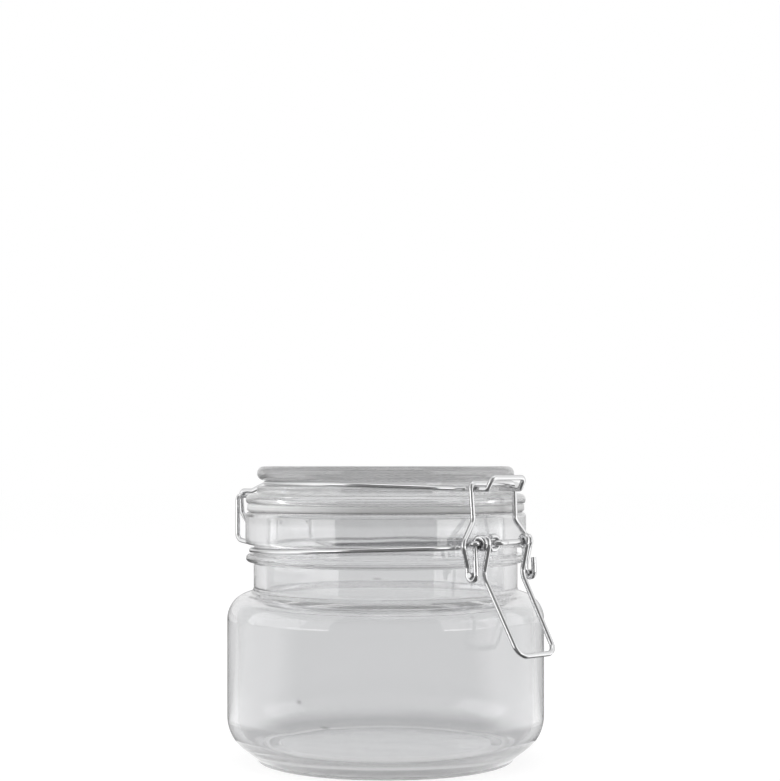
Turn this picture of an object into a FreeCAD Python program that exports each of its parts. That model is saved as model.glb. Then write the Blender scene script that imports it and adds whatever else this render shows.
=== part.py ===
"""A half-litre clip-top preserving jar: a blown glass body, a pressed glass lid with its rubber
gasket, a wire ring round each, a hinge at the back and an over-centre wire latch at the front.

Frame: millimetres, +Z up, origin on the jar's axis in the plane of its foot.
The latch is at -Y and the hinge at +Y. Both swing about lines along X.
"""

import FreeCAD
import Part

import math
import os
import re

import Sketcher

Vector = FreeCAD.Vector

doc = FreeCAD.newDocument("preserving_jar")


# ---------------------------------------------------------------- driving sizes, in millimetres

SIZES = {
    # glass body, outside, from the foot up
    "body_radius": 54.0,
    "body_height": 54.6,
    "heel_rise": 8.85,
    "heel_round": 13.0,
    "foot_inset": 10.3,
    "foot_height": 0.8,
    "foot_width": 3.4,
    "push_up_width": 3.8,
    "push_up_height": 1.5,
    "shoulder_width": 8.95,
    "shoulder_rise": 3.1,
    "shoulder_round": 9.0,
    "neck_height": 9.8,
    "neck_round": 1.4,
    "bead_width": 2.6,
    "bead_height": 2.6,
    "groove_depth": 2.8,
    "groove_spare_height": 1.7,
    "rim_width": 2.85,
    "rim_height": 11.1,
    "rim_low_round": 1.1,
    "rim_top_round": 1.7,
    # glass body, inside
    "neck_wall": 4.5,
    "wall": 3.3,
    "base_thickness": 5.4,
    "inner_heel_round": 9.5,
    "mouth_round": 1.4,
    # gasket and lid
    "seat_clearance": 0.05,
    "gasket_inset": 0.55,
    "gasket_thickness": 2.65,
    "plug_clearance": 1.1,
    "plug_depth": 2.8,
    "plug_wall": 3.6,
    "lip_inset": 0.15,
    "lip_height": 3.3,
    "step_inset": 3.75,
    "step_height": 2.65,
    "waist_depth": 4.1,
    "waist_spare_height": 0.2,
    "disc_width": 4.0,
    "disc_height": 4.8,
    "lid_top_thickness": 5.0,
    "lid_panel_width": 5.4,
    "lid_panel_depth": 0.35,
    # all four wires
    "wire_diameter": 1.7,
    "wire_bend": 1.9,
    "running_clearance": 0.06,
    "ring_clearance": 0.1,
    # ring round the neck
    "neck_ring_side_rise": 1.2,
    "neck_ring_back_drop": 1.2,
    "neck_ring_front_rise": 1.9,
    "front_frame_spread": 0.4,
    # ring round the lid
    "lid_ring_front_drop": 1.9,
    "nose_root_half_width": 8.7,
    "nose_tip_half_width": 7.7,
    "nose_bend_reach": 5.8,
    "nose_tip_reach": 7.8,
    "nose_tip_rise": 3.7,
    # latch: reaches are outward from the rim, drops are down from the pivot
    "pivot_reach": 5.8,
    "pivot_rise": 2.0,
    "frame_gap": 0.06,
    "coil_start_half_width": 9.3,
    "coil_gap": 0.06,
    "crank_lean": 1.1,
    "crank_drop": 10.0,
    "pin_overhang": 0.65,
    "knee_lean": 0.4,
    "knee_drop": 10.3,
    "handle_lean": 14.0,
    "handle_drop": 35.0,
    "handle_half_width": 8.7,
    "handle_bend": 3.6,
    "bail_reach": 1.0,
    "bail_rest": 0.18,
    "bail_top_gap": 0.1,
    "bail_kink_reach": 1.7,
    "bail_kink_rise": 6.9,
    "bail_kink_tuck": 0.3,
    "bail_bulge_reach": 3.0,
    "bail_bulge_drop": 0.3,
    "bail_bulge_gap": 0.6,
    "bail_hook_gap": 0.46,
    "bail_tip_rise": 4.8,
    "eye_radius": 2.1,
    "eye_place": 4.9,
    # hinge
    "hinge_reach": 13.8,
    "hinge_drop": 1.3,
    "hinge_half_width": 14.0,
    "hinge_foot_rise": 0.1,
    "hinge_arm_half_width": 10.75,
    "hinge_tail_lean": 2.3,
    "hinge_tail_bend": 6.15,
    "hinge_tail_drop": 9.95,
}

sheet = doc.addObject("Spreadsheet::Sheet", "Sizes")
for row, (alias, value) in enumerate(SIZES.items(), start=1):
    sheet.set(f"A{row}", alias)
    sheet.set(f"B{row}", str(value))
    sheet.setAlias(f"B{row}", alias)
doc.recompute()


def size(text):
    """The value of a sum of named sizes, read from the sheet."""
    return float(sheet.evalExpression(text))


def linked(text):
    """The same sum as an expression that another object can be bound to."""
    return re.sub(r"\b(?!sqrt)[a-z][a-z_]+", lambda word: "Sizes." + word.group(0), text)


# ---------------------------------------------------------------- turned pieces

def corner_arc(before, corner, after, radius):
    """Where a round of this radius leaves the two lines of a corner, and its middle and centre."""
    to_before = (before - corner).normalize()
    to_after = (after - corner).normalize()
    half = to_before.getAngle(to_after) / 2
    reach = radius / math.tan(half)
    centre = corner + (to_before + to_after).normalize() * (radius / math.sin(half))
    middle = centre + (corner - centre).normalize() * radius
    return corner + to_before * reach, corner + to_after * reach, centre, middle


def plane_of(body, role):
    return next(item for item in body.Origin.OriginFeatures if item.Role == role)


def profile_sketch(body, name, corners):
    """A closed half section. Each corner is a radius, a height and a round, as sums of sizes."""
    sketch = body.newObject("Sketcher::SketchObject", name)
    sketch.AttachmentSupport = [(plane_of(body, "XZ_Plane"), "")]
    sketch.MapMode = "FlatFace"
    places = [Vector(size(across), size(up), 0) for across, up, _ in corners]
    rounds = [size(round_) if round_ else 0.0 for _, _, round_ in corners]
    count = len(corners)
    arcs = {}
    starts = list(places)
    ends = list(places)
    for i, radius in enumerate(rounds):
        if radius:
            into, out, centre, middle = corner_arc(places[i - 1], places[i], places[(i + 1) % count], radius)
            ends[i], starts[i] = into, out
            arcs[i] = sketch.addGeometry(Part.Arc(into, middle, out), False)
    lines = [
        sketch.addGeometry(Part.LineSegment(starts[i], ends[(i + 1) % count]), False) for i in range(count)
    ]
    for i, (across, up, round_) in enumerate(corners):
        before, after = lines[i - 1], lines[i]
        if i in arcs:
            arc = arcs[i]
            point = sketch.addGeometry(Part.Point(places[i]), True)
            arc_begins = sketch.getPoint(arc, 1).distanceToPoint(ends[i]) < 1e-6
            first, last = (1, 2) if arc_begins else (2, 1)
            sketch.addConstraint(Sketcher.Constraint("Tangent", before, 2, arc, first))
            sketch.addConstraint(Sketcher.Constraint("Tangent", arc, last, after, 1))
            sketch.addConstraint(Sketcher.Constraint("PointOnObject", point, 1, before))
            sketch.addConstraint(Sketcher.Constraint("PointOnObject", point, 1, after))
            radius_at = sketch.addConstraint(Sketcher.Constraint("Radius", arc, rounds[i]))
            sketch.setExpression(f"Constraints[{radius_at}]", linked(round_))
            vertex = (point, 1)
        else:
            sketch.addConstraint(Sketcher.Constraint("Coincident", before, 2, after, 1))
            vertex = (after, 1)
        across_at = sketch.addConstraint(Sketcher.Constraint("DistanceX", -1, 1, *vertex, places[i].x))
        sketch.setExpression(f"Constraints[{across_at}]", linked(across))
        up_at = sketch.addConstraint(Sketcher.Constraint("DistanceY", -1, 1, *vertex, places[i].y))
        sketch.setExpression(f"Constraints[{up_at}]", linked(up))
    return sketch


def turned_body(label, corners):
    """A piece of glass or rubber turned about the jar's axis."""
    body = doc.addObject("PartDesign::Body", label)
    body.Label = label
    sketch = profile_sketch(body, label + "_section", corners)
    turn = body.newObject("PartDesign::Revolution", label + "_turn")
    turn.Profile = sketch
    turn.ReferenceAxis = (sketch, ["V_Axis"])
    turn.Angle = 360
    body.Tip = turn
    return body


FOOT = "(body_radius - foot_inset)"
NECK = "(body_radius - shoulder_width)"
GROOVE = f"({NECK} + bead_width - groove_depth)"
RIM = f"({NECK} + rim_width)"
MOUTH = f"({NECK} - neck_wall)"
NECK_ROOT = "(body_height + shoulder_rise)"
BEAD_LOW = f"({NECK_ROOT} + neck_height)"
BEAD_HIGH = f"({BEAD_LOW} + bead_height)"
RIM_LOW = f"({BEAD_HIGH} + (wire_diameter + groove_spare_height))"
RIM_HIGH = f"({RIM_LOW} + rim_height)"
PLUG = f"({MOUTH} - plug_clearance)"
GASKET_LOW = f"({RIM_HIGH} + seat_clearance)"
LIP_LOW = f"({GASKET_LOW} + gasket_thickness)"
LIP_HIGH = f"({LIP_LOW} + lip_height)"
STEP = f"({RIM} - lip_inset - step_inset)"
STEP_HIGH = f"({LIP_HIGH} + step_height)"
WAIST = f"({STEP} - waist_depth)"
WAIST_HIGH = f"({STEP_HIGH} + (wire_diameter + waist_spare_height))"
DISC = f"({WAIST} + disc_width)"
LID_TOP = f"({WAIST_HIGH} + disc_height)"

# The shoulder falls from the neck's root to the body. Inside, it is one wall lower.
SHOULDER_SLOPE = "(shoulder_rise / shoulder_width)"
SHOULDER_DROP = f"(wall * sqrt(1 + {SHOULDER_SLOPE} ^ 2))"

JAR_SECTION = [
    ("0", "push_up_height", None),
    (f"{FOOT} - foot_width - push_up_width", "push_up_height", "2.5"),
    (f"{FOOT} - foot_width", "0", "0.8"),
    (FOOT, "0", "foot_height * 0.5"),
    (FOOT, "foot_height", "foot_height * 0.4"),
    ("body_radius", "heel_rise", "heel_round"),
    ("body_radius", "body_height", "shoulder_round"),
    (NECK, NECK_ROOT, "neck_round"),
    (NECK, BEAD_LOW, "0.6"),
    (f"{NECK} + bead_width", BEAD_LOW, "bead_height * 0.48"),
    (f"{NECK} + bead_width", BEAD_HIGH, "bead_height * 0.48"),
    (GROOVE, BEAD_HIGH, "0.5"),
    (GROOVE, RIM_LOW, "0.8"),
    (RIM, RIM_LOW, "rim_low_round"),
    (RIM, RIM_HIGH, "rim_top_round"),
    (MOUTH, RIM_HIGH, "mouth_round"),
    (MOUTH, f"{NECK_ROOT} + neck_wall * {SHOULDER_SLOPE} - {SHOULDER_DROP}", "2.0"),
    (
        "body_radius - wall",
        f"body_height + wall * {SHOULDER_SLOPE} - {SHOULDER_DROP}",
        "shoulder_round - wall",
    ),
    ("body_radius - wall", "base_thickness", "inner_heel_round"),
    ("0", "base_thickness", None),
]

LID_SECTION = [
    ("0", f"{LID_TOP} - lid_panel_depth", None),
    ("0", f"{LID_TOP} - lid_top_thickness", None),
    (f"{PLUG} - plug_wall", f"{LID_TOP} - lid_top_thickness", "3.5"),
    (f"{PLUG} - plug_wall", f"{LIP_LOW} - plug_depth", "1.4"),
    (PLUG, f"{LIP_LOW} - plug_depth", "1.2"),
    (PLUG, LIP_LOW, None),
    (f"{RIM} - lip_inset", LIP_LOW, "lip_height * 0.3"),
    (f"{RIM} - lip_inset", LIP_HIGH, "lip_height * 0.55"),
    (STEP, LIP_HIGH, "0.7"),
    (STEP, STEP_HIGH, "0.5"),
    (WAIST, STEP_HIGH, "0.6"),
    (WAIST, WAIST_HIGH, "0.6"),
    (DISC, WAIST_HIGH, "disc_height * 0.49"),
    (DISC, LID_TOP, "disc_height * 0.49"),
    (f"{DISC} - lid_panel_width", LID_TOP, "0.4"),
    (f"{DISC} - lid_panel_width - 1.5", f"{LID_TOP} - lid_panel_depth", "0.4"),
]

GASKET_SECTION = [
    (f"{PLUG} + seat_clearance", GASKET_LOW, "0.5"),
    (f"{RIM} - gasket_inset", GASKET_LOW, "0.9"),
    (f"{RIM} - gasket_inset", LIP_LOW, "0.9"),
    (f"{PLUG} + seat_clearance", LIP_LOW, "0.5"),
]

turned_body("jar_glass", JAR_SECTION)
turned_body("lid_glass", LID_SECTION)
turned_body("gasket", GASKET_SECTION)


# ---------------------------------------------------------------- bent wires

def latch_point(across, reach, height):
    """A point on the latch's side: across to +X, out along -Y, up along +Z."""
    return Vector(across, -reach, height)


def hinge_point(across, reach, height):
    """A point on the hinge's side: out along +Y."""
    return Vector(across, reach, height)


def mirrored(points):
    """The same bends on the other side of the X = 0 plane, in the opposite order."""
    return [(Vector(-point.x, point.y, point.z), bend) for point, bend in reversed(points)]


def bent_edges(bends):
    """Straight runs joined by tangent arcs. Each bend is a corner and the round of its bend.

    A bend without a round takes the largest that leaves half of each run to its neighbour.
    """
    edges = []
    start = bends[0][0]
    for (before, _), (corner, radius), (after, _) in zip(bends, bends[1:], bends[2:]):
        if radius is None:
            reach = min(corner.distanceToPoint(before), corner.distanceToPoint(after)) / 2
            radius = reach * math.tan((before - corner).getAngle(after - corner) / 2)
        into, out, _, middle = corner_arc(before, corner, after, radius)
        if start.distanceToPoint(into) > 1e-4:
            edges.append(Part.LineSegment(start, into).toShape())
        edges.append(Part.Arc(into, middle, out).toShape())
        start = out
    edges.append(Part.LineSegment(start, bends[-1][0]).toShape())
    return edges


def ring_corners(first_turn, last_turn, radius_at, height_at):
    """Corners round the left half of a ring, in turns from the latch. Their bends lie on it."""
    count = 7
    step = (last_turn - first_turn) / count
    corners = []
    for i in range(count):
        turn = first_turn + step * (i + 0.5)
        reach = radius_at(turn) / math.cos(math.radians(step / 2))
        a = math.radians(turn)
        corners.append(
            (latch_point(-reach * math.sin(a), reach * math.cos(a), height_at(turn)), None)
        )
    return corners


def blend(turn, low_turn, low_value, high_turn, high_value):
    """One value below low_turn, another above high_turn and a straight change between them."""
    part = min(max((turn - low_turn) / (high_turn - low_turn), 0), 1)
    return low_value + (high_value - low_value) * part


def turn_of(half_width, radius):
    return math.degrees(math.asin(half_width / radius))


def wire_piece(label, edges):
    """A round wire swept along its path."""
    path = doc.addObject("Part::Feature", label + "_path")
    path.Shape = Part.Wire(edges)
    section = doc.addObject("Part::Circle", label + "_section")
    section.setExpression("Radius", "Sizes.wire_diameter / 2")
    first = path.Shape.Edges[0]
    way = first.tangentAt(first.FirstParameter)
    section.Placement = FreeCAD.Placement(
        first.valueAt(first.FirstParameter), FreeCAD.Rotation(Vector(0, 0, 1), way)
    )
    sweep = doc.addObject("Part::Sweep", label)
    sweep.Label = label
    sweep.Sections = [section]
    sweep.Spine = (path, [f"Edge{i + 1}" for i in range(len(edges))])
    sweep.Solid = True
    sweep.Frenet = False
    return sweep


BEND = size("wire_bend")
HOOK = size("wire_diameter + running_clearance")
PIVOT_REACH = size(f"{RIM} + pivot_reach")
PIVOT_HEIGHT = size(f"{RIM_LOW} + pivot_rise")
CRANK_REACH = PIVOT_REACH - size("crank_lean")
CRANK_HEIGHT = PIVOT_HEIGHT - size("crank_drop")
HINGE_REACH = size(f"{RIM} + hinge_reach")
HINGE_HEIGHT = size(f"{LIP_HIGH} - hinge_drop")
LID_RING_HEIGHT = size(f"{STEP_HIGH} + (wire_diameter + waist_spare_height) / 2")
NOSE_HEIGHT = LID_RING_HEIGHT - size("lid_ring_front_drop") * 0.85
TIGHT_BEND = 1.1

# Half widths across the latch, from the lever's leg outward: each leaves room for the next wire.
COIL_PITCH = size("wire_diameter + coil_gap")
CRANK_HALF = size("coil_start_half_width") + 1.5 * COIL_PITCH
FRAME_HALF = CRANK_HALF + size("wire_diameter + frame_gap")
FRONT_HALF = FRAME_HALF + size("front_frame_spread")
HOOK_HALF = CRANK_HALF + size("wire_diameter + bail_hook_gap")
PIN_HALF = HOOK_HALF + size("wire_diameter / 2 + pin_overhang")
BULGE_HALF = FRONT_HALF + size("wire_diameter + bail_bulge_gap")
BAIL_TOP_HALF = size("nose_root_half_width + wire_diameter + bail_top_gap")


def neck_ring():
    """Closed at the latch by an eye and a hook, and drawn out at the back into the hinge's frame."""
    in_groove = size(f"{GROOVE} + wire_diameter / 2 + ring_clearance")
    round_rim = size(f"{RIM} + wire_diameter / 2 + ring_clearance")
    side = size(f"{BEAD_HIGH} + wire_diameter / 2 + neck_ring_side_rise")
    front_rise, back_drop = size("neck_ring_front_rise"), size("neck_ring_back_drop")
    front_half, hinge_half = FRONT_HALF, size("hinge_half_width")
    front = turn_of(front_half, round_rim)
    back = 180 - turn_of(hinge_half, in_groove)
    foot = size(f"{RIM_LOW} + hinge_foot_rise")

    def radius_at(turn):
        return blend(turn, 60, round_rim, 100, in_groove)

    def height_at(turn):
        along = math.cos(math.radians(turn))
        return side + along * (front_rise if along > 0 else back_drop)

    eye = size("eye_radius")
    eye_at = -size("eye_place")
    hook_at = eye_at + eye
    reach, height = PIVOT_REACH, PIVOT_HEIGHT
    eye_end = [
        (latch_point(eye_at - 0.75 * eye, reach, height + 0.95 * eye), 0),
        (latch_point(eye_at - 0.3 * eye, reach, height + eye), 0.8 * eye),
        (latch_point(eye_at + eye, reach, height + eye), 0.9 * eye),
        (latch_point(eye_at + eye, reach, height - eye), 0.9 * eye),
        (latch_point(eye_at - 0.7 * eye, reach, height - eye), 0.5 * eye),
        (latch_point(eye_at - 1.4 * eye, reach, height), 0.5 * eye),
    ]
    hook_end = [
        (latch_point(hook_at + 0.75 * eye, reach - 0.95 * eye, height), 0),
        (latch_point(hook_at + 0.3 * eye, reach - eye, height), 0.8 * eye),
        (latch_point(hook_at - eye, reach - eye, height), 0.9 * eye),
        (latch_point(hook_at - eye, reach + eye, height), 0.9 * eye),
        (latch_point(hook_at + 0.7 * eye, reach + eye, height), 0.5 * eye),
        (latch_point(hook_at + 1.4 * eye, reach, height), 0.5 * eye),
    ]
    left_front = [
        (latch_point(-FRAME_HALF, reach, height), TIGHT_BEND),
        (
            latch_point(-front_half, round_rim * math.cos(math.radians(front)), height_at(front)),
            BEND,
        ),
    ]
    left_back = [
        (
            hinge_point(-hinge_half, -in_groove * math.cos(math.radians(back)), height_at(back)),
            BEND,
        ),
        (hinge_point(-hinge_half, HINGE_REACH, foot), 2.6),
        (hinge_point(-hinge_half, HINGE_REACH, HINGE_HEIGHT), 1.6),
    ]
    side_left = left_front + ring_corners(front, back, radius_at, height_at) + left_back
    return bent_edges(eye_end + side_left + mirrored(side_left) + hook_end[::-1])


def lid_ring():
    """Round the lid's waist, with a nose for the bail in front and two hooks on the hinge."""
    in_waist = size(f"{WAIST} + wire_diameter / 2 + ring_clearance * 2")
    round_step = size(f"{STEP} + wire_diameter / 2 + ring_clearance * 3")
    root_half, tip_half = size("nose_root_half_width"), size("nose_tip_half_width")
    arm = size("hinge_arm_half_width")
    front = turn_of(root_half, round_step)
    back = 180 - turn_of(arm, in_waist)
    drop = size("lid_ring_front_drop")
    lip = size(f"{RIM} - lip_inset")
    bend_reach = size(f"{RIM} + nose_bend_reach")
    tip_reach = size(f"{RIM} + nose_tip_reach")
    tip_height = NOSE_HEIGHT + size("nose_tip_rise")

    def radius_at(turn):
        return blend(turn, 64, round_step, 92, in_waist)

    def height_at(turn):
        return LID_RING_HEIGHT - blend(turn, 0, drop, 70, 0)

    left = [
        (
            hinge_point(
                -arm, HINGE_REACH - size("hinge_tail_lean"), HINGE_HEIGHT - size("hinge_tail_drop")
            ),
            0,
        ),
        (hinge_point(-arm, HINGE_REACH + HOOK * 0.7, HINGE_HEIGHT - size("hinge_tail_bend")), 2.0),
        (hinge_point(-arm, HINGE_REACH + HOOK, HINGE_HEIGHT - 0.6 * HOOK), 4.0),
        (hinge_point(-arm, HINGE_REACH + HOOK, HINGE_HEIGHT + HOOK), HOOK * 0.98),
        (hinge_point(-arm, HINGE_REACH - 2.4 * HOOK, HINGE_HEIGHT + HOOK), 4.0),
        (hinge_point(-arm, lip + 0.6, LID_RING_HEIGHT), 4.0),
        (
            hinge_point(-arm, -in_waist * math.cos(math.radians(back)), LID_RING_HEIGHT),
            TIGHT_BEND,
        ),
    ]
    left += ring_corners(front, back, radius_at, height_at)[::-1]
    left += [
        (latch_point(-root_half, round_step * math.cos(math.radians(front)), NOSE_HEIGHT), BEND),
        (latch_point(-(root_half + 3 * tip_half) / 4, bend_reach, NOSE_HEIGHT), TIGHT_BEND),
        (latch_point(-tip_half, tip_reach, tip_height), BEND),
    ]
    return bent_edges(left + mirrored(left))


def bail():
    """The frame that pulls the nose down: a bar across the top and a hook round each pin."""
    hook = HOOK_HALF
    reach, height = CRANK_REACH, CRANK_HEIGHT
    bar_height = NOSE_HEIGHT + size("wire_diameter + bail_rest")
    left = [
        (latch_point(-hook, reach + HOOK * 0.85, height + size("bail_tip_rise")), 0),
        (latch_point(-hook, reach + HOOK, height + 0.6 * HOOK), 3.0),
        (latch_point(-hook, reach + HOOK, height - HOOK), HOOK * 0.98),
        (latch_point(-hook, reach - HOOK, height - HOOK), HOOK * 0.98),
        (latch_point(-hook, reach - HOOK, height + 2.6), 3.0),
        (
            latch_point(
                -BULGE_HALF,
                size(f"{RIM} + bail_bulge_reach"),
                PIVOT_HEIGHT - size("bail_bulge_drop"),
            ),
            3.0,
        ),
        (
            latch_point(
                -(BAIL_TOP_HALF - size("bail_kink_tuck")),
                size(f"{RIM} + bail_kink_reach"),
                PIVOT_HEIGHT + size("bail_kink_rise"),
            ),
            3.0,
        ),
        (
            latch_point(-BAIL_TOP_HALF, size(f"{RIM} + bail_reach"), bar_height),
            1.6,
        ),
    ]
    return bent_edges(left + mirrored(left))


def lever():
    """The handle: from each pin a crank runs up to a coil round the neck ring's bar, then a leg
    runs down from the coil to the handle's bar."""
    leg = size("coil_start_half_width")
    crank = CRANK_HALF
    reach, height = PIVOT_REACH, PIVOT_HEIGHT
    coil = [(-1, 1), (1, 1), (1, -1), (-1, -1), (-1, 1), (1, 1)]
    coil_corners = []
    for i, (out, up) in enumerate(coil):
        across = crank - COIL_PITCH * 0.25 * (i + 0.5)
        coil_corners.append((latch_point(-across, reach + out * HOOK, height + up * HOOK), None))
    left = [
        (latch_point(-PIN_HALF, CRANK_REACH, CRANK_HEIGHT), 0),
        (latch_point(-crank, CRANK_REACH, CRANK_HEIGHT), TIGHT_BEND),
        (latch_point(-crank, reach - HOOK, height - 0.6 * HOOK), 6.0),
        *coil_corners,
        (latch_point(-leg, reach + HOOK, height - 0.6 * HOOK), 6.0),
        (latch_point(-leg, reach - size("knee_lean"), height - size("knee_drop")), 6.0),
        (
            latch_point(
                -size("handle_half_width"), reach + size("handle_lean"), height - size("handle_drop")
            ),
            size("handle_bend"),
        ),
    ]
    return bent_edges(left + mirrored(left))


wire_piece("neck_ring", neck_ring())
wire_piece("lid_ring", lid_ring())
wire_piece("bail", bail())
wire_piece("lever", lever())


# ---------------------------------------------------------------- check and write

doc.recompute()
SUB_PARTS = ["jar_glass", "neck_ring", "lid_glass", "gasket", "lid_ring", "bail", "lever"]
for item in doc.Objects:
    if {"Invalid", "Error"} & set(item.State):
        raise RuntimeError(f"{item.Label} failed: {item.State}")
os.makedirs("parts", exist_ok=True)
for label in SUB_PARTS:
    item = doc.getObjectsByLabel(label)[0]
    shape = item.Shape
    if shape.isNull() or not shape.isValid() or len(shape.Solids) != 1:
        raise RuntimeError(f"{label} is not one valid solid")
    print(f"{label}: {shape.Volume:.1f} mm3, {shape.BoundBox}")
for label in SUB_PARTS:
    doc.getObjectsByLabel(label)[0].Shape.exportStep(f"parts/{label}.step")
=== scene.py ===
"""Looks of an empty clip-top preserving jar: clear glass, a pale rubber gasket and bright wire.

Everything is in metres in the jar's own frame: +Z up, the latch at -Y and the hinge at +Y.
"""

import math

import bmesh
import bpy
from bpy.props import FloatProperty, FloatVectorProperty, PointerProperty
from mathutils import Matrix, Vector

bl_info = {
    "name": "Preserving Jar",
    "version": (1, 0, 0),
    "blender": (4, 5, 0),
    "location": "View3D > Sidebar > Jar",
    "description": "Finishes and studio for a clip-top preserving jar",
    "category": "Object",
}

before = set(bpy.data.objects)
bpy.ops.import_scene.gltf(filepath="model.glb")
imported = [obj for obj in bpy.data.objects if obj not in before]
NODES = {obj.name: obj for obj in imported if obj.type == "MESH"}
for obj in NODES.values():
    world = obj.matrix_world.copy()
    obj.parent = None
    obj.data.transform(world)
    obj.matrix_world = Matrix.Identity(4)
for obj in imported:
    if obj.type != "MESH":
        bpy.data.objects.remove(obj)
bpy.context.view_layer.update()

# ---------------------------------------------------------------- glass

# Heights where the blown body's tint changes, and the radius outside which its foot is thick.
BODY_DEPTH = {
    "Base Height": 0.0045,
    "Wall Start": 0.0105,
    "Wall End": 0.0795,
    "Rim Height": 0.0815,
    "Foot Radius": 0.042,
}
BODY_ROUGHNESS = 0.05
BODY_STREAK = 0.2

# The lid has no foot, and what counts as its rim is the solid disc on top.
LID_DEPTH = {
    "Base Height": 0.0,
    "Wall Start": 0.001,
    "Wall End": 0.0935,
    "Rim Height": 0.0955,
    "Foot Radius": 0.0,
}
LID_ROUGHNESS = 0.1
LID_STREAK = 0.3
LID_WAVE_SHARE = 0.7  # the pressed lid's waves against the blown body's

# How far the line between the heel's outer and inner faces leans out for each metre up.
HEEL_SLOPE = 0.8

# How much tighter the mould's streaks lie up and down than round the jar.
STREAK_SQUASH = 5.0

# Seeds in the front of the body: the middle of each, half its width and half its height.
SEEDS = (
    ((-0.0337, -0.0299, 0.0642), 0.0024, 0.0007),
    ((-0.05226, -0.01357, 0.0254), 0.0015, 0.0011),
    ((-0.04918, -0.0223, 0.0178), 0.0027, 0.0008),
)

# ---------------------------------------------------------------- rubber and wire

RUBBER_SOFTNESS = 0.4  # share of the light that goes into the rubber
RUBBER_DEPTH = 0.002  # how far that light goes
RUBBER_MARKS = {"Spread": 0.2, "Mark Size": 0.003}
WIRE_MARKS = {"Spread": 0.16, "Mark Size": 0.0012}

# ---------------------------------------------------------------- studio

# Each lamp's name, turn from the camera in degrees, distance, height, width, tallness and
# radiance. All of them face LAMP_AIM, a height on the jar's axis.
LAMPS = (
    ("Left panel", -92.0, 0.9, 0.22, 0.95, 0.9, 2.0),
    ("Right panel", 100.0, 0.95, 0.22, 0.75, 0.8, 1.6),
    ("Top panel", 20.0, 0.25, 1.1, 0.6, 0.6, 1.2),
)
LAMP_AIM = 0.06

# Turns from the camera, in degrees: the dark room's two edges, and the cards' far ends.
ROOM_LEFT = -39.0
ROOM_RIGHT = 40.0
BACK = 178.0

CARD_STEP = 4.0  # degrees between two uprights of a card
CARD_REACH = 0.6
CARD_FOOT = 0.012
CARD_TOP = 0.086
MAT_HEIGHT = 0.002
MAT_START = 0.09
DULL_MAT = 0.18

# A card's upright section, as distances, heights and shares of its brightness.
SIDE_PROFILE = (
    (CARD_REACH, CARD_FOOT, 0.5),
    (CARD_REACH, 0.035, 1.0),
    (CARD_REACH, CARD_TOP, 1.0),
)
UPPER_PROFILE = ((CARD_REACH, CARD_TOP, 1.0), (CARD_REACH, 0.5, 1.0))

# Each card's name, stops and profile. A stop is a turn from the camera in degrees with the
# card's brightness there.
CARDS = (
    (
        "Dark room",
        ((ROOM_LEFT, 0.25), (ROOM_RIGHT, 0.25)),
        ((1.4, 0.0, 1.0), (1.4, 0.6, 1.0), (1.2, 1.1, 1.0), (0.7, 1.5, 1.0), (0.3, 1.6, 1.0)),
    ),
    (
        "Left card",
        (
            (-BACK, 0.45),
            (-140.0, 0.5),
            (-115.0, 0.9),
            (-90.0, 1.1),
            (-76.0, 1.8),
            (-64.0, 3.2),
            (-50.0, 4.6),
            (ROOM_LEFT, 4.6),
        ),
        SIDE_PROFILE,
    ),
    (
        "Right card",
        (
            (ROOM_RIGHT, 4.8),
            (50.0, 4.6),
            (64.0, 3.0),
            (76.0, 1.8),
            (90.0, 1.2),
            (115.0, 1.0),
            (140.0, 0.5),
            (BACK, 0.45),
        ),
        SIDE_PROFILE,
    ),
    (
        "Left upper card",
        ((-BACK, 0.9), (-140.0, 0.9), (-110.0, 1.1), (-70.0, 1.5), (ROOM_LEFT, 1.6)),
        UPPER_PROFILE,
    ),
    (
        "Right upper card",
        ((ROOM_RIGHT, 1.7), (70.0, 1.5), (110.0, 1.1), (140.0, 0.9), (BACK, 0.9)),
        UPPER_PROFILE,
    ),
    (
        "Mat",
        (
            (-BACK, 0.12),
            (-132.0, 0.12),
            (-112.0, 1.4),
            (-80.0, 1.8),
            (-60.0, DULL_MAT),
            (58.0, DULL_MAT),
            (76.0, 1.8),
            (112.0, 1.4),
            (132.0, 0.12),
            (BACK, 0.12),
        ),
        (
            (MAT_START, MAT_HEIGHT, 0.3),
            (0.13, MAT_HEIGHT, 1.0),
            (CARD_REACH, MAT_HEIGHT, 1.0),
            (CARD_REACH, CARD_FOOT, 1.0),
        ),
    ),
    (
        "Near mat",
        ((-BACK, 0.15), (BACK, 0.15)),
        ((0.056, MAT_HEIGHT, 1.0), (MAT_START, MAT_HEIGHT, 1.0)),
    ),
)

FLOOR_SIDES = 96
FLOOR_ROUGHNESS = 0.9
FLOOR_LIFT = 0.86  # light the floor adds where it is seen, so that it shows white
DIM_WORLD = 0.55  # the surroundings as they light the jar
SEEN_WORLD = 1.0  # the surroundings as they are seen
LIGHT_BOUNCES = 32  # enough for light to leave the thick glass again

# The camera's sensor and lens in millimetres, and its shift as shares of the sensor's width.
SENSOR_WIDTH = 36.0
LENS = 80.86
SHIFT_RIGHT = 0.0056
SHIFT_UP = 0.0968


# ---------------------------------------------------------------- sizes and colours

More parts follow.
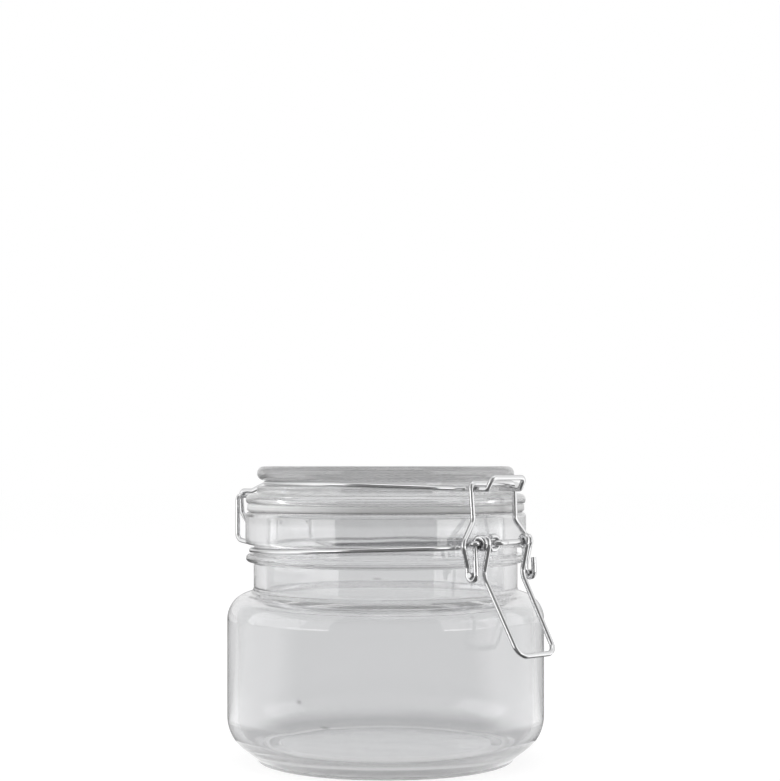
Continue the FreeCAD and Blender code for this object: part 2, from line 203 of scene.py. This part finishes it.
class GlassSettings(bpy.types.PropertyGroup):
    tint: FloatVectorProperty(
        name="Wall tint",
        description="Colour that the blown wall passes",
        default=(0.765, 0.767, 0.773),
        size=3,
        min=0.0,
        max=1.0,
        subtype="COLOR",
    )
    base_tint: FloatVectorProperty(
        name="Base tint",
        description="Colour that the thick base passes",
        default=(0.36, 0.362, 0.366),
        size=3,
        min=0.0,
        max=1.0,
        subtype="COLOR",
    )
    floor_tint: FloatVectorProperty(
        name="Floor tint",
        description="Colour that the jar's floor passes",
        default=(0.93, 0.932, 0.936),
        size=3,
        min=0.0,
        max=1.0,
        subtype="COLOR",
    )
    rim_tint: FloatVectorProperty(
        name="Rim tint",
        description="Colour that the thick rim passes",
        default=(0.65, 0.652, 0.655),
        size=3,
        min=0.0,
        max=1.0,
        subtype="COLOR",
    )
    lid_tint: FloatVectorProperty(
        name="Lid tint",
        description="Colour that the pressed lid passes round its hollow underside",
        default=(0.86, 0.862, 0.866),
        size=3,
        min=0.0,
        max=1.0,
        subtype="COLOR",
    )
    disc_tint: FloatVectorProperty(
        name="Lid disc tint",
        description="Colour that the solid top of the lid passes",
        default=(0.42, 0.42, 0.423),
        size=3,
        min=0.0,
        max=1.0,
        subtype="COLOR",
    )
    seed_tint: FloatVectorProperty(
        name="Seed tint",
        description="Colour that the small seeds in the glass pass",
        default=(0.42, 0.42, 0.42),
        size=3,
        min=0.0,
        max=1.0,
        subtype="COLOR",
    )
    ior: FloatProperty(
        name="Index of refraction",
        description="How strongly the glass bends light",
        default=1.5,
        min=1.0,
        max=2.0,
    )
    wave_size: FloatProperty(
        name="Wave size",
        description="Width of the slow waves that moulding leaves in the glass",
        default=0.018,
        min=0.001,
        unit="LENGTH",
    )
    wave_depth: FloatProperty(
        name="Wave depth",
        description="Depth of those waves",
        default=0.0001,
        min=0.0,
        unit="LENGTH",
    )


class RubberSettings(bpy.types.PropertyGroup):
    color: FloatVectorProperty(
        name="Gasket colour",
        description="Colour of the pale rubber",
        default=(0.92, 0.92, 0.92),
        size=3,
        min=0.0,
        max=1.0,
        subtype="COLOR",
    )
    roughness: FloatProperty(
        name="Gasket roughness",
        description="How dull the rubber is",
        default=0.42,
        min=0.0,
        max=1.0,
        subtype="FACTOR",
    )
    # Painted glow: how brightly the rubber shines where it is seen through the glass, in place
    # of light that no lamp brings there.
    painted_glow_through_glass: FloatProperty(
        name="Painted glow through glass",
        description="Brightness of the rubber where it is seen through the glass",
        default=0.28,
        min=0.0,
        max=2.0,
    )


class WireSettings(bpy.types.PropertyGroup):
    color: FloatVectorProperty(
        name="Wire colour",
        description="Colour of the bright steel",
        default=(0.62, 0.62, 0.625),
        size=3,
        min=0.0,
        max=1.0,
        subtype="COLOR",
    )
    roughness: FloatProperty(
        name="Wire roughness",
        description="How dull the drawn steel is",
        default=0.2,
        min=0.0,
        max=1.0,
        subtype="FACTOR",
    )


class StageSettings(bpy.types.PropertyGroup):
    camera_turn: FloatProperty(
        name="Camera turn",
        description="How far round from the latch the camera stands, towards -X",
        default=math.radians(45.0),
        subtype="ANGLE",
    )
    camera_distance: FloatProperty(
        name="Camera distance",
        description="From the jar's axis to the camera",
        default=0.6,
        min=0.1,
        unit="LENGTH",
    )
    camera_height: FloatProperty(
        name="Camera height",
        description="From the floor to the camera, which looks straight ahead",
        default=0.1,
        min=0.0,
        unit="LENGTH",
    )
    floor_radius: FloatProperty(
        name="Floor radius",
        description="From the middle of the floor to its edge",
        default=6.0,
        min=0.5,
        unit="LENGTH",
    )
    floor_color: FloatProperty(
        name="Floor brightness",
        description="How pale the floor is",
        default=0.25,
        min=0.0,
        max=1.0,
        subtype="FACTOR",
    )


SETTINGS = {
    "jar_glass_look": GlassSettings,
    "jar_rubber_look": RubberSettings,
    "jar_wire_look": WireSettings,
    "jar_stage": StageSettings,
}


# ---------------------------------------------------------------- node helpers

# A mix node has one row of sockets for each kind of value, so its colour ones go by place.
MIX_FIRST, MIX_SECOND, MIX_COLOR = 6, 7, 2


def feed(tree, socket, value):
    """Join another node's output to the socket, or set a plain value on it."""
    if isinstance(value, bpy.types.NodeSocket):
        tree.links.new(value, socket)
    else:
        socket.default_value = value


def math_node(tree, operation, *values):
    """The result of a sum on numbers or other nodes' outputs."""
    node = tree.nodes.new("ShaderNodeMath")
    node.operation = operation
    for socket, value in zip(node.inputs, values):
        feed(tree, socket, value)
    return node.outputs["Value"]


def vector_node(tree, operation, *values):
    """The result of a sum on vectors: a number for a length, else a vector."""
    node = tree.nodes.new("ShaderNodeVectorMath")
    node.operation = operation
    for socket, value in zip(node.inputs, values):
        feed(tree, socket, value)
    return node.outputs["Value" if operation == "LENGTH" else "Vector"]


def noise_node(tree, vector, scale, detail, roughness=0.5):
    """The strength of a cloudy pattern."""
    node = tree.nodes.new("ShaderNodeTexNoise")
    feed(tree, node.inputs["Vector"], vector)
    feed(tree, node.inputs["Scale"], scale)
    node.inputs["Detail"].default_value = detail
    node.inputs["Roughness"].default_value = roughness
    return node.outputs["Fac"]


def smooth_ramp(tree, value, start, end, first=0.0, last=1.0):
    """Run softly from first to last while the value goes from start to end."""
    node = tree.nodes.new("ShaderNodeMapRange")
    node.interpolation_type = "SMOOTHSTEP"
    labels = ("Value", "From Min", "From Max", "To Min", "To Max")
    for label, given in zip(labels, (value, start, end, first, last)):
        feed(tree, node.inputs[label], given)
    return node.outputs["Result"]


def tint_mix(tree, share, first, second):
    """The first colour, with this share of the second in it."""
    node = tree.nodes.new("ShaderNodeMix")
    node.data_type = "RGBA"
    feed(tree, node.inputs["Factor"], share)
    feed(tree, node.inputs[MIX_FIRST], first)
    feed(tree, node.inputs[MIX_SECOND], second)
    return node.outputs[MIX_COLOR]


def own_place(tree):
    """Where a point lies in the jar's own frame."""
    return tree.nodes.new("ShaderNodeTexCoord").outputs["Object"]


def seen_ray(tree):
    """One for rays from the camera, off gloss and through glass, and zero for the rest."""
    path = tree.nodes.new("ShaderNodeLightPath").outputs
    seen = math_node(tree, "MAXIMUM", path["Is Camera Ray"], path["Is Glossy Ray"])
    return math_node(tree, "MAXIMUM", seen, path["Is Transmission Ray"])


def opaque(color):
    """The colour with a full alpha."""
    return (*color, 1.0)


def new_material(name):
    """An empty material and its node tree, with a Principled shader joined to the output."""
    material = bpy.data.materials.new(name)
    material.use_nodes = True
    tree = material.node_tree
    tree.nodes.clear()
    output = tree.nodes.new("ShaderNodeOutputMaterial")
    shader = tree.nodes.new("ShaderNodeBsdfPrincipled")
    tree.links.new(shader.outputs["BSDF"], output.inputs["Surface"])
    return material, tree, shader


def dress(names, material):
    """Give the named CAD pieces this material alone."""
    for name in names:
        mesh = NODES[name].data
        mesh.materials.clear()
        mesh.materials.append(material)


# ---------------------------------------------------------------- shared effects

def effect_group(name, inputs, outputs):
    """A node group with named sockets. Each input is a name, a kind and a default."""
    group = bpy.data.node_groups.new(name, "ShaderNodeTree")
    for label, kind, default in inputs:
        socket = group.interface.new_socket(label, in_out="INPUT", socket_type=kind)
        socket.default_value = default
    for label, kind in outputs:
        group.interface.new_socket(label, in_out="OUTPUT", socket_type=kind)
    entry = group.nodes.new("NodeGroupInput").outputs
    return group, entry, group.nodes.new("NodeGroupOutput").inputs


def placed(tree, group, values):
    """The group's outputs, as a node of this material with its own values."""
    node = tree.nodes.new("ShaderNodeGroup")
    node.node_tree = group
    for label, value in values.items():
        node.inputs[label].default_value = value
    return node.outputs


def moulded_waves():
    """Slow waves and fine streaks, the unevenness of glass that met an iron mould."""
    found = bpy.data.node_groups.get("Moulded waves")
    if found:
        return found
    group, entry, out = effect_group(
        "Moulded waves",
        [
            ("Wave Size", "NodeSocketFloat", 0.018),
            ("Wave Depth", "NodeSocketFloat", 0.0001),
            ("Streak", "NodeSocketFloat", 0.3),
        ],
        [("Height", "NodeSocketFloat")],
    )
    place = own_place(group)
    scale = math_node(group, "DIVIDE", 1.0, entry["Wave Size"])
    slow = noise_node(group, place, scale, detail=1.0, roughness=0.3)
    squash = group.nodes.new("ShaderNodeMapping")
    squash.inputs["Scale"].default_value = (1.0, 1.0, STREAK_SQUASH)
    group.links.new(place, squash.inputs["Vector"])
    streak = noise_node(group, squash.outputs["Vector"], scale, detail=0.0)
    both = math_node(group, "MULTIPLY_ADD", streak, entry["Streak"], slow)
    group.links.new(math_node(group, "MULTIPLY", both, entry["Wave Depth"]), out["Height"])
    return group


def glass_depth():
    """The glass's tint by height: foot or floor at the bottom, then the wall, then the rim."""
    found = bpy.data.node_groups.get("Glass depth")
    if found:
        return found
    grey = (0.8, 0.8, 0.8, 1.0)
    group, entry, out = effect_group(
        "Glass depth",
        [
            ("Base Height", "NodeSocketFloat", 0.002),
            ("Wall Start", "NodeSocketFloat", 0.008),
            ("Wall End", "NodeSocketFloat", 0.08),
            ("Rim Height", "NodeSocketFloat", 0.082),
            ("Foot Radius", "NodeSocketFloat", 0.0),
            ("Heel Slope", "NodeSocketFloat", HEEL_SLOPE),
            ("Base Tint", "NodeSocketColor", grey),
            ("Floor Tint", "NodeSocketColor", grey),
            ("Wall Tint", "NodeSocketColor", grey),
            ("Rim Tint", "NodeSocketColor", grey),
        ],
        [("Color", "NodeSocketColor")],
    )
    parts = group.nodes.new("ShaderNodeSeparateXYZ")
    group.links.new(own_place(group), parts.inputs["Vector"])
    height = parts.outputs["Z"]
    flat = group.nodes.new("ShaderNodeCombineXYZ")
    for axis in "XY":
        group.links.new(parts.outputs[axis], flat.inputs[axis])
    radius = vector_node(group, "LENGTH", flat.outputs["Vector"])
    # The heel leans out as it rises, so the line between its outer and inner faces does too.
    rise = math_node(group, "MULTIPLY", height, entry["Heel Slope"])
    past = math_node(group, "SUBTRACT", radius, rise)
    outer = math_node(group, "GREATER_THAN", past, entry["Foot Radius"])
    color = tint_mix(group, outer, entry["Floor Tint"], entry["Base Tint"])
    for low, high, tint in (
        ("Base Height", "Wall Start", "Wall Tint"),
        ("Wall End", "Rim Height", "Rim Tint"),
    ):
        share = smooth_ramp(group, height, entry[low], entry[high])
        color = tint_mix(group, share, color, entry[tint])
    group.links.new(color, out["Color"])
    return group


def seed_mark():
    """The mask of one small soft mark in the glass."""
    found = bpy.data.node_groups.get("Seed")
    if found:
        return found
    group, entry, out = effect_group(
        "Seed",
        [
            ("Place", "NodeSocketVector", (0.0, 0.0, 0.0)),
            ("Half Width", "NodeSocketFloat", 0.001),
            ("Half Height", "NodeSocketFloat", 0.001),
        ],
        [("Mask", "NodeSocketFloat")],
    )
    apart = vector_node(group, "SUBTRACT", own_place(group), entry["Place"])
    reach = group.nodes.new("ShaderNodeCombineXYZ")
    for axis, label in zip("XYZ", ("Half Width", "Half Width", "Half Height")):
        group.links.new(entry[label], reach.inputs[axis])
    shares = vector_node(group, "DIVIDE", apart, reach.outputs["Vector"])
    middle = vector_node(group, "LENGTH", shares)
    mask = smooth_ramp(group, middle, 0.0, 1.0, first=1.0, last=0.0)
    group.links.new(mask, out["Mask"])
    return group


def handled_surface():
    """Fine cloudy marks that make a plain roughness uneven."""
    found = bpy.data.node_groups.get("Handled surface")
    if found:
        return found
    group, entry, out = effect_group(
        "Handled surface",
        [
            ("Roughness", "NodeSocketFloat", 0.2),
            ("Spread", "NodeSocketFloat", 0.1),
            ("Mark Size", "NodeSocketFloat", 0.002),
        ],
        [("Roughness", "NodeSocketFloat")],
    )
    scale = math_node(group, "DIVIDE", 1.0, entry["Mark Size"])
    marks = noise_node(group, own_place(group), scale, detail=3.0)
    centred = math_node(group, "SUBTRACT", marks, 0.5)
    uneven = math_node(group, "MULTIPLY_ADD", centred, entry["Spread"], entry["Roughness"])
    group.links.new(uneven, out["Roughness"])
    return group


# ---------------------------------------------------------------- the jar

def glass_material(name, depths, tints, roughness, wave_size, streak, seeds=()):
    """Clear glass, deeper in tint where it is thicker, with the mould's slow waves in it."""
    look = bpy.context.scene.jar_glass_look
    material, tree, shader = new_material(name)
    shader.inputs["Transmission Weight"].default_value = 1.0
    shader.inputs["IOR"].default_value = look.ior
    shader.inputs["Roughness"].default_value = roughness
    tints = {label: opaque(tint) for label, tint in tints.items()}
    color = placed(tree, glass_depth(), depths | tints)["Color"]
    for place, half_width, half_height in seeds:
        size = {"Half Width": half_width, "Half Height": half_height}
        mask = placed(tree, seed_mark(), {"Place": place, **size})["Mask"]
        color = tint_mix(tree, mask, color, opaque(look.seed_tint))
    tree.links.new(color, shader.inputs["Base Color"])
    waves = {"Wave Size": wave_size, "Wave Depth": look.wave_depth, "Streak": streak}
    bump = tree.nodes.new("ShaderNodeBump")
    bump.inputs["Strength"].default_value = 1.0
    bump.inputs["Distance"].default_value = 1.0  # the height is in metres as it is
    tree.links.new(placed(tree, moulded_waves(), waves)["Height"], bump.inputs["Height"])
    tree.links.new(bump.outputs["Normal"], shader.inputs["Normal"])
    return material


class JAR_OT_body(bpy.types.Operator):
    """Give the blown body its clear glass"""

    bl_idname = "jar.body"
    bl_label = "Glass body"

    def execute(self, context):
        look = context.scene.jar_glass_look
        tints = {
            "Base Tint": look.base_tint,
            "Floor Tint": look.floor_tint,
            "Wall Tint": look.tint,
            "Rim Tint": look.rim_tint,
        }
        glass = glass_material(
            "Blown glass", BODY_DEPTH, tints, BODY_ROUGHNESS, look.wave_size, BODY_STREAK, SEEDS
        )
        dress(["jar_glass"], glass)
        return {"FINISHED"}


class JAR_OT_lid(bpy.types.Operator):
    """Give the pressed lid its clear glass"""

    bl_idname = "jar.lid"
    bl_label = "Glass lid"

    def execute(self, context):
        look = context.scene.jar_glass_look
        tints = {
            "Base Tint": look.lid_tint,
            "Floor Tint": look.lid_tint,
            "Wall Tint": look.lid_tint,
            "Rim Tint": look.disc_tint,
        }
        wave_size = look.wave_size * LID_WAVE_SHARE
        glass = glass_material(
            "Pressed glass", LID_DEPTH, tints, LID_ROUGHNESS, wave_size, LID_STREAK
        )
        dress(["lid_glass"], glass)
        return {"FINISHED"}


class JAR_OT_gasket(bpy.types.Operator):
    """Give the gasket its pale rubber"""

    bl_idname = "jar.gasket"
    bl_label = "Gasket"

    def execute(self, context):
        look = context.scene.jar_rubber_look
        material, tree, shader = new_material("Pale rubber")
        shader.inputs["Base Color"].default_value = opaque(look.color)
        shader.inputs["Subsurface Weight"].default_value = RUBBER_SOFTNESS
        shader.inputs["Subsurface Radius"].default_value = (RUBBER_DEPTH,) * 3
        # No lamp reaches rubber that lies against the glass, so there it gets a painted glow of
        # its own colour, seen only through the glass.
        path = tree.nodes.new("ShaderNodeLightPath").outputs
        painted_glow = math_node(
            tree, "MULTIPLY", path["Is Transmission Ray"], look.painted_glow_through_glass
        )
        shader.inputs["Emission Color"].default_value = opaque(look.color)
        tree.links.new(painted_glow, shader.inputs["Emission Strength"])
        marks = placed(tree, handled_surface(), {"Roughness": look.roughness, **RUBBER_MARKS})
        tree.links.new(marks["Roughness"], shader.inputs["Roughness"])
        dress(["gasket"], material)
        return {"FINISHED"}


class JAR_OT_wires(bpy.types.Operator):
    """Give both rings, the bail and the lever their bright steel"""

    bl_idname = "jar.wires"
    bl_label = "Wires"

    def execute(self, context):
        look = context.scene.jar_wire_look
        material, tree, shader = new_material("Bright steel wire")
        shader.inputs["Base Color"].default_value = opaque(look.color)
        shader.inputs["Metallic"].default_value = 1.0
        marks = placed(tree, handled_surface(), {"Roughness": look.roughness, **WIRE_MARKS})
        tree.links.new(marks["Roughness"], shader.inputs["Roughness"])
        dress(["neck_ring", "lid_ring", "bail", "lever"], material)
        return {"FINISHED"}


# ---------------------------------------------------------------- the stage

def spot(turn, distance, height):
    """The spot so many degrees round from the camera, so far from the axis and so high."""
    way = math.radians(turn) - bpy.context.scene.jar_stage.camera_turn
    return Vector((math.sin(way), -math.cos(way), 0.0)) * distance + Vector((0, 0, height))


def panel(name, turn, distance, height, width, tall, radiance):
    """A soft rectangular lamp that faces the jar."""
    place = spot(turn, distance, height)
    lamp = bpy.data.lights.new(name, "AREA")
    lamp.shape = "RECTANGLE"
    lamp.size = width
    lamp.size_y = tall
    lamp.energy = radiance * math.pi * width * tall
    item = bpy.data.objects.new(name, lamp)
    item.location = place
    item.rotation_euler = (Vector((0, 0, LAMP_AIM)) - place).to_track_quat("-Z", "Y").to_euler()
    bpy.context.scene.collection.objects.link(item)


def filled_in(stops):
    """The card's stops, with evenly blended ones between them."""
    uprights = []
    for (turn, shade), (next_turn, next_shade) in zip(stops, stops[1:]):
        steps = max(1, round((next_turn - turn) / CARD_STEP))
        for i in range(steps):
            part = i / steps
            here = turn + (next_turn - turn) * part
            uprights.append((here, shade + (next_shade - shade) * part))
    return [*uprights, stops[-1]]


def glow_material(name):
    """A plain light as strong as the mesh's own glow."""
    material = bpy.data.materials.new(name)
    material.use_nodes = True
    tree = material.node_tree
    tree.nodes.clear()
    output = tree.nodes.new("ShaderNodeOutputMaterial")
    light = tree.nodes.new("ShaderNodeEmission")
    level = tree.nodes.new("ShaderNodeAttribute")
    level.attribute_name = "glow"
    tree.links.new(level.outputs["Fac"], light.inputs["Strength"])
    tree.links.new(light.outputs["Emission"], output.inputs["Surface"])
    return material


def card(name, stops, profile):
    """A curved screen round the jar that shows only in the gloss of the wires and the glass."""
    mesh = bpy.data.meshes.new(name)
    work = bmesh.new()
    glow = work.verts.layers.float.new("glow")
    columns = []
    for turn, shade in filled_in(stops):
        column = []
        for reach, height, share in profile:
            vert = work.verts.new(spot(turn, reach, height))
            vert[glow] = shade * share
            column.append(vert)
        columns.append(column)
    for left, right in zip(columns, columns[1:]):
        for k in range(len(profile) - 1):
            work.faces.new((left[k], right[k], right[k + 1], left[k + 1]))
    work.to_mesh(mesh)
    work.free()
    mesh.materials.append(glow_material(name))
    item = bpy.data.objects.new(name, mesh)
    bpy.context.scene.collection.objects.link(item)
    item.visible_camera = False
    item.visible_diffuse = False
    item.visible_transmission = False
    item.visible_shadow = False


class JAR_OT_stage(bpy.types.Operator):
    """Set up the floor, the soft lamps, the white surroundings and the camera"""

    bl_idname = "jar.stage"
    bl_label = "Stage"

    def execute(self, context):
        scene = context.scene
        self.floor(scene)
        self.world(scene)
        for lamp in LAMPS:
            panel(*lamp)
        for screen in CARDS:
            card(*screen)
        self.camera(scene)
        scene.view_settings.view_transform = "Standard"
        scene.cycles.max_bounces = LIGHT_BOUNCES
        scene.cycles.glossy_bounces = LIGHT_BOUNCES
        scene.cycles.transmission_bounces = LIGHT_BOUNCES
        return {"FINISHED"}

    def floor(self, scene):
        """A pale round floor that is seen as white and keeps the jar's shadow."""
        stage = scene.jar_stage
        mesh = bpy.data.meshes.new("Floor")
        work = bmesh.new()
        bmesh.ops.create_circle(
            work, cap_ends=True, segments=FLOOR_SIDES, radius=stage.floor_radius
        )
        work.to_mesh(mesh)
        work.free()
        floor = bpy.data.objects.new("Floor", mesh)
        scene.collection.objects.link(floor)
        material, tree, shader = new_material("White floor")
        shader.inputs["Base Color"].default_value = opaque((stage.floor_color,) * 3)
        shader.inputs["Roughness"].default_value = FLOOR_ROUGHNESS
        shader.inputs["Specular IOR Level"].default_value = 0.0
        shader.inputs["Emission Color"].default_value = (1.0, 1.0, 1.0, 1.0)
        lift = math_node(tree, "MULTIPLY", seen_ray(tree), FLOOR_LIFT)
        tree.links.new(lift, shader.inputs["Emission Strength"])
        mesh.materials.append(material)

    def world(self, scene):
        """White surroundings that light the jar more dimly than they are seen."""
        world = bpy.data.worlds.new("White surroundings")
        scene.world = world
        world.use_nodes = True
        tree = world.node_tree
        tree.nodes.clear()
        output = tree.nodes.new("ShaderNodeOutputWorld")
        strength = tree.nodes.new("ShaderNodeMapRange")
        strength.inputs["To Min"].default_value = DIM_WORLD
        strength.inputs["To Max"].default_value = SEEN_WORLD
        tree.links.new(seen_ray(tree), strength.inputs["Value"])
        background = tree.nodes.new("ShaderNodeBackground")
        background.inputs["Color"].default_value = (1.0, 1.0, 1.0, 1.0)
        tree.links.new(strength.outputs["Result"], background.inputs["Strength"])
        tree.links.new(background.outputs["Background"], output.inputs["Surface"])

    def camera(self, scene):
        """A camera that stands on the latch's left and looks straight ahead."""
        stage = scene.jar_stage
        data = bpy.data.cameras.new("Camera")
        data.sensor_fit = "HORIZONTAL"
        data.sensor_width = SENSOR_WIDTH
        data.lens = LENS
        data.shift_x = SHIFT_RIGHT
        data.shift_y = SHIFT_UP
        camera = bpy.data.objects.new("Camera", data)
        way = -stage.camera_turn
        camera.location = (
            math.sin(way) * stage.camera_distance,
            -math.cos(way) * stage.camera_distance,
            stage.camera_height,
        )
        camera.rotation_euler = (math.pi / 2, 0.0, way)
        scene.collection.objects.link(camera)
        scene.camera = camera


OPERATORS = [JAR_OT_body, JAR_OT_lid, JAR_OT_gasket, JAR_OT_wires, JAR_OT_stage]


class JAR_PT_sidebar(bpy.types.Panel):
    """Lists the jar's pieces and its stage"""

    bl_label = "Preserving jar"
    bl_idname = "JAR_PT_sidebar"
    bl_space_type = "VIEW_3D"
    bl_region_type = "UI"
    bl_category = "Jar"

    def draw(self, context):
        for operator in OPERATORS:
            self.layout.operator(operator.bl_idname)
        for name, group in SETTINGS.items():
            box = self.layout.box()
            for label in group.__annotations__:
                box.prop(getattr(context.scene, name), label)


def register():
    for item in [*SETTINGS.values(), *OPERATORS, JAR_PT_sidebar]:
        bpy.utils.register_class(item)
    for name, group in SETTINGS.items():
        setattr(bpy.types.Scene, name, PointerProperty(type=group))


def unregister():
    for name in SETTINGS:
        delattr(bpy.types.Scene, name)
    for item in reversed([*SETTINGS.values(), *OPERATORS, JAR_PT_sidebar]):
        bpy.utils.unregister_class(item)


def main():
    register()
    bpy.ops.jar.body()
    bpy.ops.jar.lid()
    bpy.ops.jar.gasket()
    bpy.ops.jar.wires()
    bpy.ops.jar.stage()


if __name__ == "__main__":
    main()
